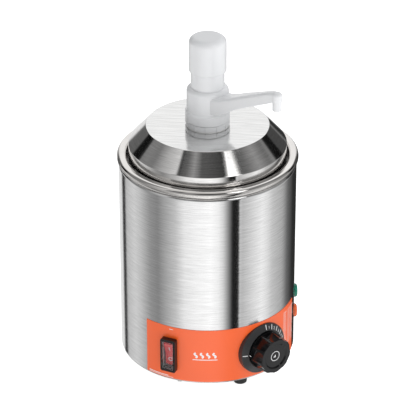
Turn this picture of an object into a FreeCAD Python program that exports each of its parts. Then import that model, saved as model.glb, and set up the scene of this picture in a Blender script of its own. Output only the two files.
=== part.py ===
import FreeCAD, Part
import math
import os
import re

import Sketcher

# Heated pump dispenser for cheese sauce, in millimetres and degrees.
# Origin: on the axis of the round housing, at the plane of the foot soles. +Z is up and -Y is the
# front, midway between the switch and the knob. A bearing is an angle about Z, counted from -Y
# towards +X. Pieces that look outward are drawn facing -Y and then turned to their bearing.

SIZES = {
    # Round housing of spun and rolled steel sheet
    "sheet": 0.8, "body_radius": 85, "shell_bottom": 11.1, "shell_top": 209.5, "flange_radius": 78.6,
    "shell_round": 2.5, "overlay_gap": 0.05, "overlay_thick": 0.35, "overlay_bottom": 11.5,
    "overlay_top": 69, "overlay_start": -49, "overlay_end": 68,
    # Base plate, feet and their screws
    "base_bottom": 10, "base_thick": 1, "base_radius": 84.6, "vent_width": 4, "vent_length": 20,
    "vent_start": 30, "foot_radius": 7.4, "foot_tip_radius": 6.4, "foot_ring": 72, "foot_bearing": 20,
    "foot_well_radius": 4.2, "foot_web": 4, "foot_screw_radius": 2, "base_screw_ring": 81.4,
    "base_screw_bearing": 65, "base_screw_radius": 1.6,
    # Heated well and what is wrapped round it
    "well_radius": 75, "well_bottom": 69.8, "well_top": 204.8, "well_round": 5.8,
    "heater_bottom": 78, "heater_top": 138, "heater_gap_angle": 16, "heater_thick": 2.4,
    "insulation_inner": 79.4, "insulation_outer": 83.6, "insulation_bottom": 72,
    "insulation_top": 200, "insulation_gap_angle": 28, "lug_half_gap": 10.8, "clamp_radius": 80.4,
    # Food pot with its rolled rim
    "pot_radius": 73, "pot_bottom": 72, "pot_round": 6, "ledge_height": 206, "riser_radius": 77.2,
    "rim_radius": 86.6, "rim_bottom": 210, "rim_top": 217.5,
    # Lid
    "lid_radius": 75.3, "lid_bottom": 206.4, "lid_shoulder": 227.2, "disc_radius": 58.5,
    "disc_height": 246, "lid_hole": 15.7,
    # Pump, from the lid up
    "gasket_radius": 20.4, "collar_radius": 20.6, "collar_bottom": 247.1, "collar_step": 251.8,
    "collar_top": 261.3, "collar_neck": 19.2, "collar_bore": 17.8, "collar_hole": 15.8,
    "collar_ribs": 12, "collar_rib_bearing": -11, "rib_width": 1, "rib_out": 0.5,
    "bush_radius": 17.2, "bush_flange": 19.3, "bush_step": 248.6,
    "spout_radius": 20, "skirt_radius": 21.2, "skirt_bottom": 252.2, "spout_bottom": 265,
    "spout_top": 285.8, "spout_round": 4.2,
    "chamber_radius": 9, "spout_bearing": 39, "reach": 89.6, "nozzle_radius": 4.3,
    "nozzle_bore": 3.1, "nozzle_bottom": 291, "arm_root_half": 14, "arm_tip_half": 4.3,
    "arm_top": 309, "elbow_radius": 4.8, "sleeve_radius": 15.9, "sleeve_bore": 13.4, "sleeve_top": 315,
    "cap_radius": 17.75, "cap_bottom": 302.4, "cap_top": 336.6, "cap_wall": 1.5, "cap_round": 6.2,
    # Pump, from the lid down
    "barrel_radius": 13.6, "barrel_bore": 12, "barrel_bottom": 190, "dip_radius": 5,
    "dip_bore": 3.8, "dip_bottom": 80, "ball_radius": 4, "outlet_ball_radius": 3.2,
    "rod_radius": 4.6, "rod_bore": 2.8, "piston_bottom": 212, "piston_top": 228,
    "spring_radius": 9.2, "spring_wire": 0.75, "spring_bottom": 287.4, "spring_top": 320.6,
    "spring_turns": 6,
    # Controls: height above the soles and bearing of each
    "switch_height": 39, "switch_bearing": -31, "frame_width": 15.6, "frame_height": 35.2,
    "frame_back": 85.5, "frame_front": 90.5, "window_width": 13, "window_height": 30.2,
    "rocker_width": 10.2, "rocker_pivot": 82, "rocker_tilt": 11, "cover_seat": 87.5,
    "knob_height": 39.6, "knob_bearing": 32, "ring_radius": 26.2, "ring_front": 87,
    "knob_radius": 19, "knob_back": 88, "knob_front": 106.5, "knob_flutes": 9,
    "spindle_radius": 3, "screw_offset": 14.5, "thermostat_front": 81.6,
    "lamp_bearing": 87, "green_height": 61.5, "orange_height": 38.8, "lamp_radius": 6.75,
    "lamp_hole": 5.1, "gland_bearing": 180, "gland_height": 30, "cord_bore": 3.7,
    "gland_thread": 7.9,
}

FEET = 3
BASE_SCREWS = 4
OUTWARD = "rotation(vector(1; 0; 0); 90)"      # turns a piece's own +Z to face -Y
UPRIGHT = "rotation(vector(0; 0; 1); 0)"
ALONG_X = "rotation(vector(0; 1; 0); 90)"

doc = FreeCAD.newDocument("CheeseDispenser")
sheet = doc.addObject("Spreadsheet::Sheet", "Sizes")
for row, (alias, number) in enumerate(SIZES.items(), start=1):
    sheet.set(f"A{row}", alias)
    sheet.set(f"B{row}", str(number))
    sheet.setAlias(f"B{row}", alias)
doc.recompute()


# ---- helpers -------------------------------------------------------------------------------

def bound(text):
    """The expression with the name of each size pointed at the sheet."""
    return re.sub(r"[a-z_]+", lambda word: sheet_name(word.group()), str(text))


def sheet_name(word):
    return "Sizes." + word if word in SIZES else word


def value(text):
    """The present value of an expression of sizes."""
    return float(sheet.evalExpression(bound(text)))


def place(piece, at="0; 0; 0", turn=UPRIGHT, bearing="0", height="0"):
    """Put a piece at a point of the frame that stands at this bearing and height."""
    stand = f"placement(vector(0; 0; {height}); rotation(vector(0; 0; 1); {bearing}))"
    piece.setExpression("Placement", bound(f"{stand} * placement(vector({at}); {turn})"))
    return piece


def solid(kind, name, spot=None, **sizes):
    """A Part primitive whose sizes are bound to the sheet; spot goes to place()."""
    piece = doc.addObject("Part::" + kind, name)
    for size, text in sizes.items():
        piece.setExpression(size, bound(text))
    return place(piece, **(spot or {}))


def outline_sketch(body, plane, outline):
    """A closed outline of straight runs, each corner held by two bound distances."""
    sketch = body.newObject("Sketcher::SketchObject", body.Name + "_outline")
    origin_plane = [item for item in body.Origin.OriginFeatures if item.Role == plane][0]
    sketch.AttachmentSupport = [(origin_plane, "")]
    sketch.MapMode = "FlatFace"
    corners = [FreeCAD.Vector(value(x), value(y), 0) for x, y in outline]
    for start, end in zip(corners, corners[1:] + corners[:1]):
        sketch.addGeometry(Part.LineSegment(start, end))
    for side in range(len(corners)):
        following = (side + 1) % len(corners)
        sketch.addConstraint(Sketcher.Constraint("Coincident", side, 2, following, 1))
    for side, (x, y) in enumerate(outline):
        for kind, text in (("DistanceX", x), ("DistanceY", y)):
            held = sketch.addConstraint(Sketcher.Constraint(kind, -1, 1, side, 1, value(text)))
            sketch.setExpression(f"Constraints[{held}]", bound(text))
    return sketch


def turned(name, outline, rounds=(), sweep=None):
    """A body turned about Z from (radius, height) corners; rounds are (radius, [circles])."""
    body = doc.addObject("PartDesign::Body", name)
    sketch = outline_sketch(body, "XZ_Plane", outline)
    turn = body.newObject("PartDesign::Revolution", name + "_turn")
    turn.Profile = sketch
    turn.ReferenceAxis = (sketch, ["V_Axis"])
    if sweep:
        turn.Midplane = True
        turn.setExpression("Angle", bound(sweep))
    else:
        turn.Angle = 360
    doc.recompute()
    for number, (radius, circles) in enumerate(rounds):
        last = body.Tip
        fillet = body.newObject("PartDesign::Fillet", f"{name}_round{number}")
        fillet.Base = (last, circles_at(last.Shape, circles))
        fillet.setExpression("Radius", bound(radius))
        body.Tip = fillet
        doc.recompute()
    return body


def circles_at(shape, circles):
    """Names of the edges that are circles about Z with these (radius, height) pairs."""
    wanted = [(value(radius), value(height)) for radius, height in circles]
    names = []
    for number, edge in enumerate(shape.Edges, start=1):
        if not isinstance(edge.Curve, Part.Circle):
            continue
        found = (edge.Curve.Radius, edge.Curve.Center.z)
        if any(math.dist(found, pair) < 0.02 for pair in wanted):
            names.append(f"Edge{number}")
    assert len(names) >= len(wanted), ("no such circle", circles)
    return names


def padded(name, outline, plane, depth):
    """A body drawn as an outline in a plane and padded the same way to both sides."""
    body = doc.addObject("PartDesign::Body", name)
    pad = body.newObject("PartDesign::Pad", name + "_pad")
    pad.Profile = outline_sketch(body, plane, outline)
    pad.Midplane = True
    pad.setExpression("Length", bound(depth))
    body.Tip = pad
    return body


def cut(name, base, *tools):
    """The base less its tools."""
    piece = doc.addObject("Part::Cut", name)
    piece.Base = base
    piece.Tool = tools[0] if len(tools) == 1 else group(name + "_tools", tools)
    return piece


def fused(name, *pieces):
    piece = doc.addObject("Part::MultiFuse", name)
    piece.Shapes = list(pieces)
    return piece


def shared(name, *pieces):
    piece = doc.addObject("Part::MultiCommon", name)
    piece.Shapes = list(pieces)
    return piece


def group(name, pieces):
    """Separate solids kept together as one object."""
    piece = doc.addObject("Part::Compound", name)
    piece.Links = list(pieces)
    return piece


def rounded(name, base, radius, chosen):
    """A Part fillet on the edges that the chosen() test picks."""
    doc.recompute()
    piece = doc.addObject("Part::Fillet", name)
    piece.Base = base
    size = value(radius)
    piece.Edges = [
        (number, size, size)
        for number, edge in enumerate(base.Shape.Edges, start=1)
        if chosen(edge)
    ]
    return piece


def copies(name, make, bearings):
    """One group of the same piece made at each bearing."""
    return group(name, [make(f"{name}_{number}", bearing) for number, bearing in enumerate(bearings)])


def spaced(first, count):
    """Bearings of this many copies, evenly spaced from the first."""
    return [f"{first} + {360 // count * step}" for step in range(count)]


def hexagon_nut(name, across, bore, thick, spot):
    """A hexagon nut with its lower face at its own z = 0."""
    nut = solid("Prism", name + "_hex", Circumradius=f"{across} / cos(30)", Height=thick)
    nut.Polygon = 6
    hole = solid("Cylinder", name + "_hole", {"at": "0; 0; -1"}, Radius=bore, Height=f"{thick} + 2")
    return place(cut(name, nut, hole), **spot)


def screw(name, radius, length, head_radius, head_thick, spot):
    """A pan-head screw: head below its own z = 0, shank above it."""
    body = turned(name, [
        ("0", f"-{head_thick}"), (head_radius, f"-{head_thick}"), (head_radius, "0"),
        (radius, "0"), (radius, length), ("0", length),
    ], rounds=[(f"{head_thick} * 0.5", [(head_radius, f"-{head_thick}")])])
    slot = solid("Box", name + "_slot", {"at": f"-0.4; -{head_radius}; -{head_thick} - 1"},
                 Length="0.8", Width=f"{head_radius} * 2", Height=f"1 + {head_thick} * 0.4")
    return place(cut(name + "_slotted", body, slot), **spot)


def wire_run(points, radius):
    """A round wire along straight runs joined by tangent arcs."""
    corners = [FreeCAD.Vector(*point) for point in points]
    edges = []
    start = corners[0]
    for before, corner, after in zip(corners, corners[1:], corners[2:]):
        back = (before - corner).normalize()
        ahead = (after - corner).normalize()
        half_turn = (math.pi - back.getAngle(ahead)) / 2
        trim = 0.45 * min((before - corner).Length, (after - corner).Length)
        bend = trim / math.tan(half_turn)
        inward = (back + ahead).normalize()
        middle = corner + inward * (bend / math.cos(half_turn) - bend)
        arc_start = corner + back * trim
        arc_end = corner + ahead * trim
        edges.append(Part.LineSegment(start, arc_start).toShape())
        edges.append(Part.Arc(arc_start, middle, arc_end).toShape())
        start = arc_end
    edges.append(Part.LineSegment(start, corners[-1]).toShape())
    path = Part.Wire(edges)
    ring = Part.Wire(Part.makeCircle(radius, corners[0], corners[1] - corners[0]))
    return path.makePipeShell([ring], True, False)


# ---- housing -------------------------------------------------------------------------------

def wall_holes(name):
    """The holes that the shell and the overlay share: switch, spindle and its screws, lamps."""
    deep = "body_radius - 6"
    window = solid("Box", name + "_window",
                   {"at": f"-window_width / 2; -body_radius - 2; -window_height / 2",
                    "bearing": "switch_bearing", "height": "switch_height"},
                   Length="window_width", Width="8", Height="window_height")
    holes = [window]
    bores = [("spindle", "knob_bearing", "knob_height", "5", "0"),
             ("screw_left", "knob_bearing", "knob_height", "1.8", "-screw_offset"),
             ("screw_right", "knob_bearing", "knob_height", "1.8", "screw_offset"),
             ("green", "lamp_bearing", "green_height", "lamp_hole", "0"),
             ("orange", "lamp_bearing", "orange_height", "lamp_hole", "0"),
             ("gland", "gland_bearing", "gland_height", "gland_thread + 0.2", "0")]
    for label, bearing, height, radius, aside in bores:
        spot = {"at": f"{aside}; -({deep}); 0", "turn": OUTWARD, "bearing": bearing, "height": height}
        holes.append(solid("Cylinder", f"{name}_{label}", spot, Radius=radius, Height="8"))
    return group(name, holes)


def outer_shell():
    inner = "body_radius - sheet"
    can = turned("shell_can", [
        ("body_radius", "shell_bottom"), ("body_radius", "shell_top"),
        ("flange_radius", "shell_top"), ("flange_radius", "shell_top - sheet"),
        (inner, "shell_top - sheet"), (inner, "shell_bottom + sheet"),
        ("flange_radius", "shell_bottom + sheet"), ("flange_radius", "shell_bottom"),
    ], rounds=[("shell_round", [("body_radius", "shell_top")]),
               ("shell_round - sheet", [(inner, "shell_top - sheet")])])
    screw_holes = copies("shell_screw_holes", base_screw_hole, spaced("base_screw_bearing", BASE_SCREWS))
    return cut("outer_shell", can, wall_holes("shell_holes"), screw_holes)


def base_screw_hole(name, bearing):
    return solid("Cylinder", name, {"at": "0; -base_screw_ring; 5", "bearing": bearing},
                 Radius="base_screw_radius + 0.25", Height="10")


def control_panel_overlay():
    inner = "body_radius + overlay_gap"
    outer = "body_radius + overlay_gap + overlay_thick"
    film = turned("overlay_film", [
        (inner, "overlay_bottom"), (outer, "overlay_bottom"), (outer, "overlay_top"),
        (inner, "overlay_top"),
    ], sweep="overlay_end - overlay_start")
    place(film, bearing="(overlay_start + overlay_end) / 2 - 90")
    return cut("control_panel_overlay", film, wall_holes("overlay_holes"))


def base_plate():
    disc = turned("base_disc", [
        ("0", "base_bottom"), ("base_radius", "base_bottom"),
        ("base_radius", "base_bottom + base_thick"), ("0", "base_bottom + base_thick"),
    ])
    vents = []
    for step in range(8):
        spot = {"at": "-vent_width / 2; -vent_start - vent_length; 5", "bearing": f"{45 * step}"}
        vents.append(solid("Box", f"vent_{step}", spot,
                           Length="vent_width", Width="vent_length", Height="10"))
    foot_holes = copies("base_foot_holes", foot_screw_hole, spaced("foot_bearing", FEET))
    screw_holes = copies("base_screw_holes", base_screw_hole, spaced("base_screw_bearing", BASE_SCREWS))
    return cut("base_plate", disc, group("vents", vents), foot_holes, screw_holes)


def foot_screw_hole(name, bearing):
    return solid("Cylinder", name, {"at": "0; -foot_ring; 5", "bearing": bearing},
                 Radius="foot_screw_radius + 0.2", Height="10")


def base_screws():
    def one(name, bearing):
        spot = {"at": "0; -base_screw_ring; base_bottom", "bearing": bearing}
        return screw(name, "base_screw_radius", "5", "3", "1.6", spot)
    return copies("base_screws", one, spaced("base_screw_bearing", BASE_SCREWS))


def rubber_feet():
    def one(name, bearing):
        hole = "foot_screw_radius + 0.2"
        foot = turned(name, [
            ("foot_well_radius", "0"), ("foot_tip_radius", "0"), ("foot_radius", "base_bottom"),
            (hole, "base_bottom"), (hole, "foot_web"), ("foot_well_radius", "foot_web"),
        ], rounds=[("0.9", [("foot_tip_radius", "0")])])
        return place(foot, at="0; -foot_ring; 0", bearing=bearing)
    return copies("rubber_feet", one, spaced("foot_bearing", FEET))


def foot_screws():
    def one(name, bearing):
        spot = {"at": "0; -foot_ring; foot_web", "bearing": bearing}
        return screw(name, "foot_screw_radius", "11", "3.6", "2.4", spot)
    return copies("foot_screws", one, spaced("foot_bearing", FEET))


def foot_nuts():
    def one(name, bearing):
        spot = {"at": "0; -foot_ring; base_bottom + base_thick + 0.05", "bearing": bearing}
        return hexagon_nut(name, "3.5", "foot_screw_radius + 0.05", "3.2", spot)
    return copies("foot_nuts", one, spaced("foot_bearing", FEET))


# ---- heat ----------------------------------------------------------------------------------

def heating_well():
    outer = "well_radius + sheet"
    under = "well_bottom - sheet"
    edge = "body_radius - sheet - 0.1"
    return turned("heating_well", [
        ("0", under), (outer, under), (outer, "well_top - sheet"), (edge, "well_top - sheet"),
        (edge, "well_top"), ("well_radius", "well_top"), ("well_radius", "well_bottom"),
        ("0", "well_bottom"),
    ], rounds=[("well_round + sheet", [(outer, under)]),
               ("well_round", [("well_radius", "well_bottom")])])


def band_heater():
    inner = "well_radius + sheet + 0.1"
    outer = "well_radius + sheet + 0.1 + heater_thick"
    band = turned("heater_band", [
        (inner, "heater_bottom"), (outer, "heater_bottom"), (outer, "heater_top"),
        (inner, "heater_top"),
    ], sweep="360 - heater_gap_angle")
    place(band, bearing="-90")
    lugs = []
    for label, side in (("left", "-lug_half_gap - 1.5"), ("right", "lug_half_gap")):
        spot = {"at": f"{side}; {inner}; (heater_bottom + heater_top) / 2 - 8"}
        lug = solid("Box", "lug_" + label, spot, Length="1.5", Width="7", Height="16")
        bore = solid("Cylinder", "lug_bore_" + label,
                     {"at": "-20; clamp_radius; (heater_bottom + heater_top) / 2", "turn": ALONG_X},
                     Radius="1.7", Height="40")
        lugs.append(cut("lug_cut_" + label, lug, bore))
    return fused("band_heater", band, *lugs)


def heater_clamp_screw():
    spot = {"at": "-lug_half_gap - 1.6; clamp_radius; (heater_bottom + heater_top) / 2",
            "turn": ALONG_X}
    bolt = screw("clamp_bolt", "1.5", "lug_half_gap * 2 + 6", "2", "1.8", spot)
    nut_spot = dict(spot, at="lug_half_gap + 1.6; clamp_radius; (heater_bottom + heater_top) / 2")
    nut = hexagon_nut("clamp_nut", "1.9", "1.55", "2.4", nut_spot)
    return group("heater_clamp_screw", [bolt, nut])


def insulation_sleeve():
    sleeve = turned("insulation_sleeve", [
        ("insulation_inner", "insulation_bottom"), ("insulation_outer", "insulation_bottom"),
        ("insulation_outer", "insulation_top"), ("insulation_inner", "insulation_top"),
    ], sweep="360 - insulation_gap_angle")
    return place(sleeve, bearing="-90")


def thermal_cutout():
    top = "well_bottom - sheet - 0.1"
    cutout = turned("thermal_cutout", [
        ("0", f"{top} - 9"), ("5", f"{top} - 9"), ("5", f"{top} - 5"), ("8", f"{top} - 5"),
        ("8", top), ("0", top),
    ], rounds=[("0.8", [("8", f"{top} - 5")])])
    return place(cutout, at="0; 34; 0")


# ---- thermostat and knob -------------------------------------------------------------------

AT_KNOB = {"bearing": "knob_bearing", "height": "knob_height"}


def thermostat_body():
    case = solid("Box", "thermostat_case", {"at": "-18; -(thermostat_front - 1.4); -17"},
                 Length="36", Width="21", Height="34")
    face = solid("Box", "thermostat_face", {"at": "-18; -thermostat_front; -17"},
                 Length="36", Width="1.4", Height="34")
    bush = solid("Cylinder", "thermostat_bush",
                 {"at": "0; -(thermostat_front - 1); 0", "turn": OUTWARD}, Radius="4.8", Height="4")
    bore = solid("Cylinder", "thermostat_bore",
                 {"at": "0; -(thermostat_front - 8); 0", "turn": OUTWARD},
                 Radius="spindle_radius + 0.35", Height="14")
    threads = [
        solid("Cylinder", "thermostat_thread_" + label,
              {"at": f"{side}screw_offset; -(thermostat_front - 6); 0", "turn": OUTWARD},
              Radius="1.65", Height="8")
        for label, side in (("left", "-"), ("right", ""))
    ]
    block = fused("thermostat_block", case, face, bush)
    return place(cut("thermostat_body", block, bore, *threads), **AT_KNOB)


def thermostat_spacers():
    rings = []
    for label, side in (("left", "-"), ("right", "")):
        spot = {"at": f"{side}screw_offset; -(thermostat_front + 0.05); 0", "turn": OUTWARD}
        tube = solid("Cylinder", "spacer_tube_" + label, spot, Radius="3", Height="0.6")
        bore = solid("Cylinder", "spacer_bore_" + label, spot, Radius="1.8", Height="4")
        rings.append(cut("spacer_" + label, tube, bore))
    return place(group("thermostat_spacers", rings), **AT_KNOB)


def thermostat_screws():
    flip = "rotation(vector(1; 0; 0); -90)"
    pair = [
        screw("knob_screw_" + label, "1.6", "9.5", "2.9", "1.1",
              {"at": f"{side}screw_offset; -(ring_front - 1.2); 0", "turn": flip})
        for label, side in (("left", "-"), ("right", ""))
    ]
    return place(group("thermostat_screws", pair), **AT_KNOB)


def thermostat_capillary():
    """The sensing bulb under the well and the fine tube that joins it to the thermostat."""
    bulb = Part.makeCylinder(3, 56, FreeCAD.Vector(-42, -12, 65.2), FreeCAD.Vector(1, 0, 0))
    behind = value("thermostat_front") - 22.45
    facing = math.radians(value("knob_bearing"))
    start = (behind * math.sin(facing), -behind * math.cos(facing), value("knob_height") + 8)
    inside = ((behind - 12) * math.sin(facing), -(behind - 12) * math.cos(facing), start[2])
    tube = wire_run([start, inside, (24, -16, 65.2), (13, -12, 65.2)], 0.8)
    piece = doc.addObject("Part::Feature", "thermostat_capillary")
    piece.Shape = bulb.fuse(tube)
    return piece


def thermostat_spindle():
    rod = solid("Cylinder", "spindle_rod", {"at": "0; -(thermostat_front - 6); 0", "turn": OUTWARD},
                Radius="spindle_radius", Height="knob_front - thermostat_front")
    flat = solid("Box", "spindle_flat", {"at": "spindle_radius - 0.8; -130; -5"},
                 Length="5", Width="130 - knob_back - 2", Height="10")
    return place(cut("thermostat_spindle", rod, flat), **AT_KNOB)


def dial_ring():
    """Disc whose printed face slopes up to the foot of the knob, which stands in a shallow well."""
    disc = turned("dial_disc", [
        ("0", "78"), ("ring_radius", "78"), ("ring_radius", "ring_front - 0.4"),
        ("knob_radius + 1", "ring_front + 2.6"), ("knob_radius + 0.5", "ring_front + 2.6"),
        ("knob_radius + 0.5", "ring_front"), ("0", "ring_front"),
    ], rounds=[("0.5", [("ring_radius", "ring_front - 0.4")])])
    place(disc, turn=OUTWARD)
    wall = solid("Cylinder", "dial_wall", {"at": "0; 0; -50"},
                 Radius="body_radius + overlay_gap + overlay_thick + 0.05", Height="100")
    holes = [solid("Cylinder", "dial_bore", {"at": "0; -80; 0", "turn": OUTWARD},
                   Radius="5", Height="20")]
    for label, side in (("left", "-"), ("right", "")):
        at = f"{side}screw_offset; -80; 0"
        sink = f"{side}screw_offset; -(ring_front - 1.2); 0"
        holes.append(solid("Cylinder", "dial_screw_" + label, {"at": at, "turn": OUTWARD},
                           Radius="1.8", Height="20"))
        holes.append(solid("Cylinder", "dial_sink_" + label, {"at": sink, "turn": OUTWARD},
                           Radius="3.1", Height="5"))
    return place(cut("dial_ring", disc, wall, *holes), **AT_KNOB)


def temperature_knob():
    grip_back = "knob_back + 4"
    blank = turned("knob_blank", [
        ("spindle_radius + 0.05", "knob_back"), ("knob_radius - 0.4", "knob_back"),
        ("knob_radius", grip_back), ("knob_radius - 0.9", "knob_front"),
        ("13.2", "knob_front"), ("11.8", "knob_front - 1.2"), ("0", "knob_front - 1.2"),
        ("0", "knob_front - 6"), ("spindle_radius + 0.05", "knob_front - 6"),
    ], rounds=[("1.3", [("knob_radius - 0.9", "knob_front")])])
    place(blank, turn=OUTWARD)
    flutes = []
    for step in range(SIZES["knob_flutes"]):
        turn = f"rotation(vector(0; 1; 0); {step} * 360 / knob_flutes)"
        flute = solid("Cylinder", f"flute_cutter_{step}",
                      {"at": "0; 0; knob_radius + 15.4", "turn": OUTWARD},
                      Radius="17.5", Height="130")
        flutes.append(place(group(f"flute_{step}", [flute]), turn=turn))
    ring = solid("Cylinder", "flute_keep", {"at": "0; 0; 0", "turn": OUTWARD},
                 Radius="60", Height=grip_back)
    cutters = cut("flute_cutters", group("flutes", flutes), ring)
    return place(cut("temperature_knob", blank, cutters), **AT_KNOB)


# ---- switch --------------------------------------------------------------------------------

AT_SWITCH = {"bearing": "switch_bearing", "height": "switch_height"}


def upright_box(name, width, height, back, front):
    """A box facing -Y, centred on the axis of a control, between two distances out."""
    return solid("Box", name, {"at": f"-({width}) / 2; -({front}); -({height}) / 2"},
                 Length=width, Width=f"{front} - ({back})", Height=height)


def outward_edges(edge):
    """Edges that run towards -Y."""
    ends = edge.Vertexes
    return len(ends) == 2 and abs(ends[0].Y - ends[1].Y) > 0.9 * edge.Length


def front_edges(edge):
    """Edges that lie in the foremost plane of the switch."""
    return edge.CenterOfMass.y < -value("frame_front") - 0.5


def switch_housing():
    frame = rounded("switch_frame", upright_box("frame_block", "frame_width", "frame_height",
                                                "frame_back", "frame_front"), "1.6", outward_edges)
    case = upright_box("switch_case", "window_width - 0.4", "window_height - 0.4", "64", "frame_back + 1")
    pocket = upright_box("switch_pocket", "rocker_width + 0.8", "27.4", "74.5", "frame_front + 1")
    recess = upright_box("cover_recess", "12.4", "31", "cover_seat", "frame_front + 1")
    pins = solid("Cylinder", "pin_holes", {"at": "-6.05; -rocker_pivot; 0", "turn": ALONG_X},
                 Radius="1.4", Height="12.1")
    block = fused("switch_block", frame, case)
    return place(cut("switch_housing", block, pocket, recess, pins), **AT_SWITCH)


def switch_rocker():
    """The rocker, drawn level and then tipped so that its lower half is pressed in."""
    key = padded("rocker_key", [
        ("-4.0", "12.8"), ("-2.4", "0"), ("-4.0", "-12.8"), ("2.0", "-11.5"), ("5.6", "-3"),
        ("5.6", "3"), ("2.0", "11.5"),
    ], "YZ_Plane", "rocker_width")
    pins = solid("Cylinder", "rocker_pins", {"at": "-5.75; 0; 0", "turn": ALONG_X},
                 Radius="1.05", Height="11.5")
    tipped = place(fused("rocker_tipped", key, pins), at="0; -rocker_pivot; 0",
                   turn="rotation(vector(1; 0; 0); rocker_tilt)")
    return place(group("switch_rocker", [tipped]), **AT_SWITCH)


def switch_cover():
    """A thin clear boot over the rocker, held in the frame."""
    block = upright_box("cover_block", "12.2", "30.8", "cover_seat + 0.05", "frame_front + 0.7")
    outer = rounded("cover_outer", block, "0.9", front_edges)
    hollow = upright_box("cover_hollow", "10.8", "29.4", "cover_seat - 1", "frame_front")
    return place(cut("switch_cover", outer, hollow), **AT_SWITCH)


def switch_terminals():
    blades = [
        solid("Box", f"blade_{number}", {"at": f"-2.4; -63.95; {height}"},
              Length="4.8", Width="8", Height="0.8")
        for number, height in enumerate(("-9.4", "-0.4", "8.6"))
    ]
    return place(group("switch_terminals", blades), **AT_SWITCH)


# ---- lamps, cord entry and wiring ----------------------------------------------------------

def lamp_lens(name, height):
    lens = turned(name, [
        ("0", "body_radius + 0.15"), ("lamp_radius", "body_radius + 0.15"),
        ("lamp_radius", "body_radius + 3.2"), ("0", "body_radius + 3.2"),
    ], rounds=[("2.6", [("lamp_radius", "body_radius + 3.2")])])
    return place(lens, turn=OUTWARD, bearing="lamp_bearing", height=height)


def lamp_pair(name, make):
    return group(name, [make(f"{name}_{colour}", colour + "_height") for colour in ("green", "orange")])


def lamp_bodies():
    def one(name, height):
        body = turned(name, [
            ("0", "68"), ("2.8", "68"), ("2.8", "77"), ("lamp_hole - 0.15", "77"),
            ("lamp_hole - 0.15", "body_radius + 0.1"), ("0", "body_radius + 0.1"),
        ])
        return place(body, turn=OUTWARD, bearing="lamp_bearing", height=height)
    return lamp_pair("lamp_bodies", one)


def lamp_nuts():
    def one(name, height):
        spot = {"at": "0; -80.6; 0", "turn": OUTWARD, "bearing": "lamp_bearing", "height": height}
        return hexagon_nut(name, "6.4", "lamp_hole - 0.1", "3", spot)
    return lamp_pair("lamp_nuts", one)


def cord_gland():
    gland = turned("cord_gland", [
        ("cord_bore", "72"), ("gland_thread", "72"), ("gland_thread", "body_radius + 0.1"),
        ("10.5", "body_radius + 0.1"), ("10.5", "body_radius + 4"), ("9", "body_radius + 4.6"),
        ("9", "body_radius + 9"), ("6.2", "body_radius + 13"), ("cord_bore", "body_radius + 13"),
    ], rounds=[("1.2", [("9", "body_radius + 9")])])
    return place(gland, turn=OUTWARD, bearing="gland_bearing", height="gland_height")


def gland_nut():
    spot = {"at": "0; -79; 0", "turn": OUTWARD, "bearing": "gland_bearing", "height": "gland_height"}
    return hexagon_nut("gland_nut", "9.6", "gland_thread + 0.05", "4", spot)


def terminal_block():
    base = solid("Box", "block_base", {"at": "-20; 34; base_bottom + base_thick + 0.05"},
                 Length="40", Width="18", Height="8")
    top = solid("Box", "block_top", {"at": "-20; 38; base_bottom + base_thick + 8"},
                Length="40", Width="10", Height="7")
    wells = [
        solid("Cylinder", f"block_well_{pole}", {"at": f"{12 * pole - 12}; 43; 20"},
              Radius="2.4", Height="10")
        for pole in range(3)
    ]
    return cut("terminal_block", fused("block_body", base, top), *wells)


def terminal_screws():
    screws = [
        solid("Cylinder", f"terminal_screw_{pole}", {"at": f"{12 * pole - 12}; 43; 20.05"},
              Radius="2", Height="3")
        for pole in range(3)
    ]
    return group("terminal_screws", screws)


def earth_stud():
    top = "base_bottom + base_thick + 0.05"
    stud = solid("Cylinder", "stud_thread", {"at": f"-36; 30; {top}"}, Radius="2", Height="13")
    nut = hexagon_nut("stud_nut", "3.5", "2", "3.2", {"at": f"-36; 30; {top}"})
    washer = solid("Cylinder", "stud_washer", {"at": f"-36; 30; {top} + 3.2"}, Radius="4.6", Height="0.8")
    return fused("earth_stud", stud, nut, washer)


def internal_wiring():
    """Insulated leads in the base, each a separate wire clear of its neighbours."""
    lead_radius = 1.1
    routes = [
        [(-12, 52.6, 15), (-12, 62, 15), (-3, 66, 22), (-1.4, 71, 30)],
        [(0, 52.6, 15), (0, 60, 15), (1, 64, 20), (1.4, 71, 28)],
        [(-12, 33.4, 15), (-14, 20, 18), (-24, -20, 26), (-28, -38, 36), (-28.5, -45, 39)],
        [(0, 33.4, 15), (2, 18, 16), (18, -20, 22), (26, -36, 28), (28, -43, 30)],
        [(12, 33.8, 15), (12, 26, 15), (9, 20, 28), (2, 24, 44), (0, 34, 50), (0, 34, 59.7)],
        [(20.2, 42, 15), (29, 42, 15), (50, 12, 34), (57, -3.5, 43), (67.4, -3.5, 43)],
    ]
    piece = doc.addObject("Part::Feature", "internal_wiring")
    piece.Shape = Part.makeCompound([wire_run(points, lead_radius) for points in routes])
    return piece


# ---- food pot and lid ----------------------------------------------------------------------

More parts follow.
